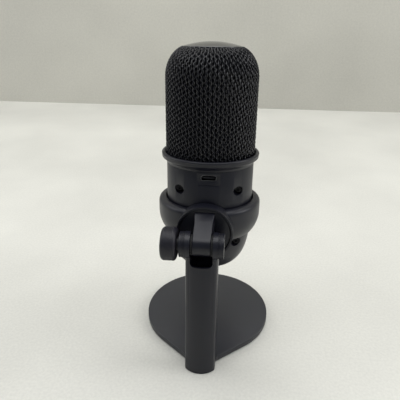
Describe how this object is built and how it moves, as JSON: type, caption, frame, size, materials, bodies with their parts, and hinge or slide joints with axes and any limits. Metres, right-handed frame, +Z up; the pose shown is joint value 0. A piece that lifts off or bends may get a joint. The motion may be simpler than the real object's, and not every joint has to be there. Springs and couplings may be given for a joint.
{
  "type": "desktop microphone",
  "caption": "Side-address desktop microphone: a mesh-topped cylinder in a ring, on a tilting fork stand with a clamp knob and a round base.",
  "frame": {"origin": "on the table, under the middle of the round base", "axes": "+Z up, -Y the talking side, +Y the rear with the column, hinge and socket, +X the side with the clamp knob"},
  "size_m": [0.0826, 0.098, 0.1801],
  "materials": {
    "charcoal_plastic": "fine satin texture",
    "knob_plastic": "satin",
    "cap_plastic": "polished",
    "base_steel": "fine powder coat",
    "grille_wire": "semi-gloss black",
    "soft_rubber": "matte",
    "black_foam": "open-cell foam",
    "zinc_steel": "zinc plated",
    "black_steel": "black oxide",
    "capsule_metal": "satin",
    "board_laminate": "solder mask",
    "lens_plastic": "clear, polished",
    "wire_sleeve": "smooth"
  },
  "bodies": {
    "stand": {"base_plate": "base_steel", "foot_pad": "soft_rubber", "base_screw_1": "zinc_steel", "base_screw_2": "zinc_steel", "stand_column": "charcoal_plastic", "clamp_nut": "zinc_steel", "nut_cap": "knob_plastic", "friction_washer_left": "soft_rubber", "friction_washer_right": "soft_rubber"},
    "clamp": {"clamp_knob": "knob_plastic", "clamp_bolt": "zinc_steel"},
    "yoke": {"yoke_ring": "charcoal_plastic", "ring_liner": "soft_rubber", "hinge_arm": "charcoal_plastic", "arm_screw_1": "black_steel", "arm_screw_2": "black_steel"},
    "head": {"rear_shell": "charcoal_plastic", "front_shell": "charcoal_plastic", "shell_screw_1": "black_steel", "shell_screw_2": "black_steel", "shell_screw_3": "black_steel", "shell_screw_4": "black_steel", "main_board": "board_laminate", "board_screw_1": "zinc_steel", "board_screw_2": "zinc_steel", "usb_socket_shell": "zinc_steel", "usb_socket_tongue": "knob_plastic", "status_lens": "lens_plastic", "status_board": "board_laminate", "collar_ring": "charcoal_plastic", "grille": "grille_wire", "grille_foam": "black_foam", "basket_frame": "knob_plastic", "touch_cap": "cap_plastic", "touch_board": "board_laminate", "capsule_mount": "soft_rubber", "mic_capsule": "capsule_metal", "capsule_lead": "wire_sleeve", "touch_lead": "wire_sleeve"}
  },
  "joints": [
    {"name": "head_tilt", "type": "hinge", "parent": "stand", "child": "yoke", "pos_m": [0, 0.044, 0.0808], "axis": [1, 0, 0], "range_deg": [-45, 20]},
    {"name": "head_swivel", "type": "hinge", "parent": "yoke", "child": "head", "pos_m": [0, -0.00226, 0.077], "axis": [0, -0.0685, 0.9976], "range_deg": [-90, 90]},
    {"name": "knob_turn", "type": "hinge", "parent": "stand", "child": "clamp", "pos_m": [0.0179, 0.044, 0.0808], "axis": [1, 0, 0], "range_deg": [0, 360]}
  ]
}
